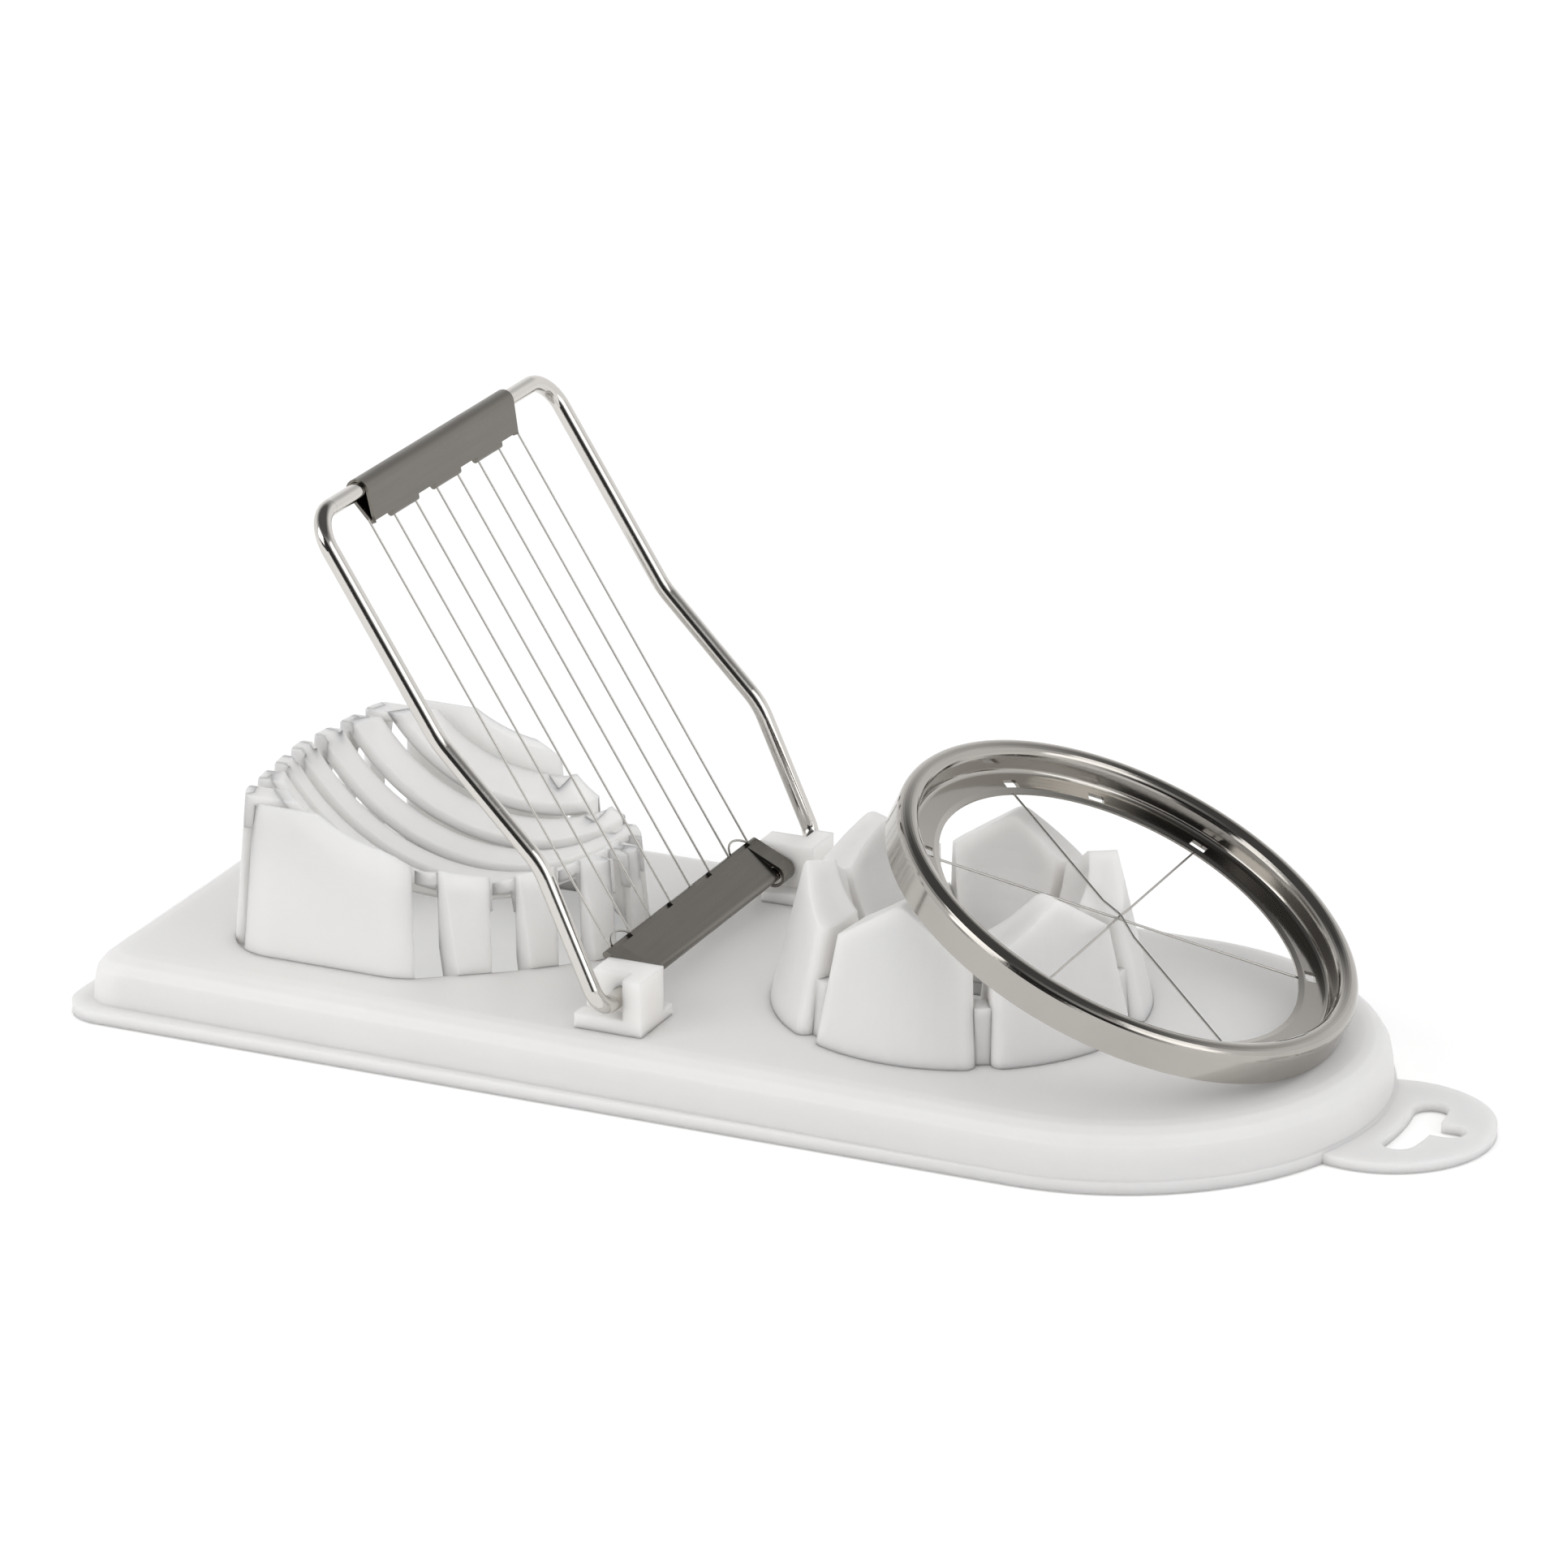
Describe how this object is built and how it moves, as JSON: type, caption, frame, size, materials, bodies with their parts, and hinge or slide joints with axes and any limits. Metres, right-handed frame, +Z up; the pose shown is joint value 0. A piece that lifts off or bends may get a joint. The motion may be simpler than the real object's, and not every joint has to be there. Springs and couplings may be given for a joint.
{
  "type": "egg slicer",
  "caption": "Egg slicer with a slotted cradle, a hinged frame of parallel cutting wires, and wedge petals that a loose wired ring presses an egg through.",
  "frame": {"origin": "middle of the tray's bounding box, on the surface it stands on", "axes": "+X along the tray from the cradle to the hanging tab, +Y across it, +Z up"},
  "size_m": [0.2014, 0.0788, 0.0809],
  "materials": {
    "white_plastic": "satin",
    "bright_rod": "polished",
    "bright_sheet": "polished",
    "steel_wire": "drawn"
  },
  "bodies": {
    "base": {"base_tray": "white_plastic", "egg_cradle": "white_plastic", "wedge_petal_1": "white_plastic", "wedge_petal_2": "white_plastic", "wedge_petal_3": "white_plastic", "wedge_petal_4": "white_plastic", "wedge_petal_5": "white_plastic", "wedge_petal_6": "white_plastic", "petal_web_1": "white_plastic", "petal_web_2": "white_plastic", "petal_web_3": "white_plastic", "petal_web_4": "white_plastic", "petal_web_5": "white_plastic", "petal_web_6": "white_plastic", "hinge_post_near": "white_plastic", "hinge_post_far": "white_plastic"},
    "slicer_frame": {"bail_rod": "bright_rod", "handle_comb": "bright_sheet", "hinge_comb": "bright_sheet", "slicing_wire_1": "steel_wire", "slicing_wire_2": "steel_wire", "slicing_wire_3": "steel_wire", "slicing_wire_4": "steel_wire", "slicing_wire_5": "steel_wire", "slicing_wire_6": "steel_wire", "slicing_wire_7": "steel_wire", "slicing_wire_8": "steel_wire", "wire_loop_near": "steel_wire", "wire_loop_far": "steel_wire"},
    "wedger": {"wedger_ring": "bright_sheet", "wedger_wire_1": "steel_wire", "wedger_wire_2": "steel_wire", "wedger_wire_3": "steel_wire"}
  },
  "joints": [
    {"name": "slicer_hinge", "type": "hinge", "parent": "base", "child": "slicer_frame", "pos_m": [-0.01645, 0, 0.0137], "axis": [0, -1, 0], "range_deg": [-24, 57.6]},
    {"name": "ring_lift", "type": "slide", "parent": "base", "child": "wedger", "axis": [0, 0, 1], "range_m": [0, 0.05]}
  ]
}
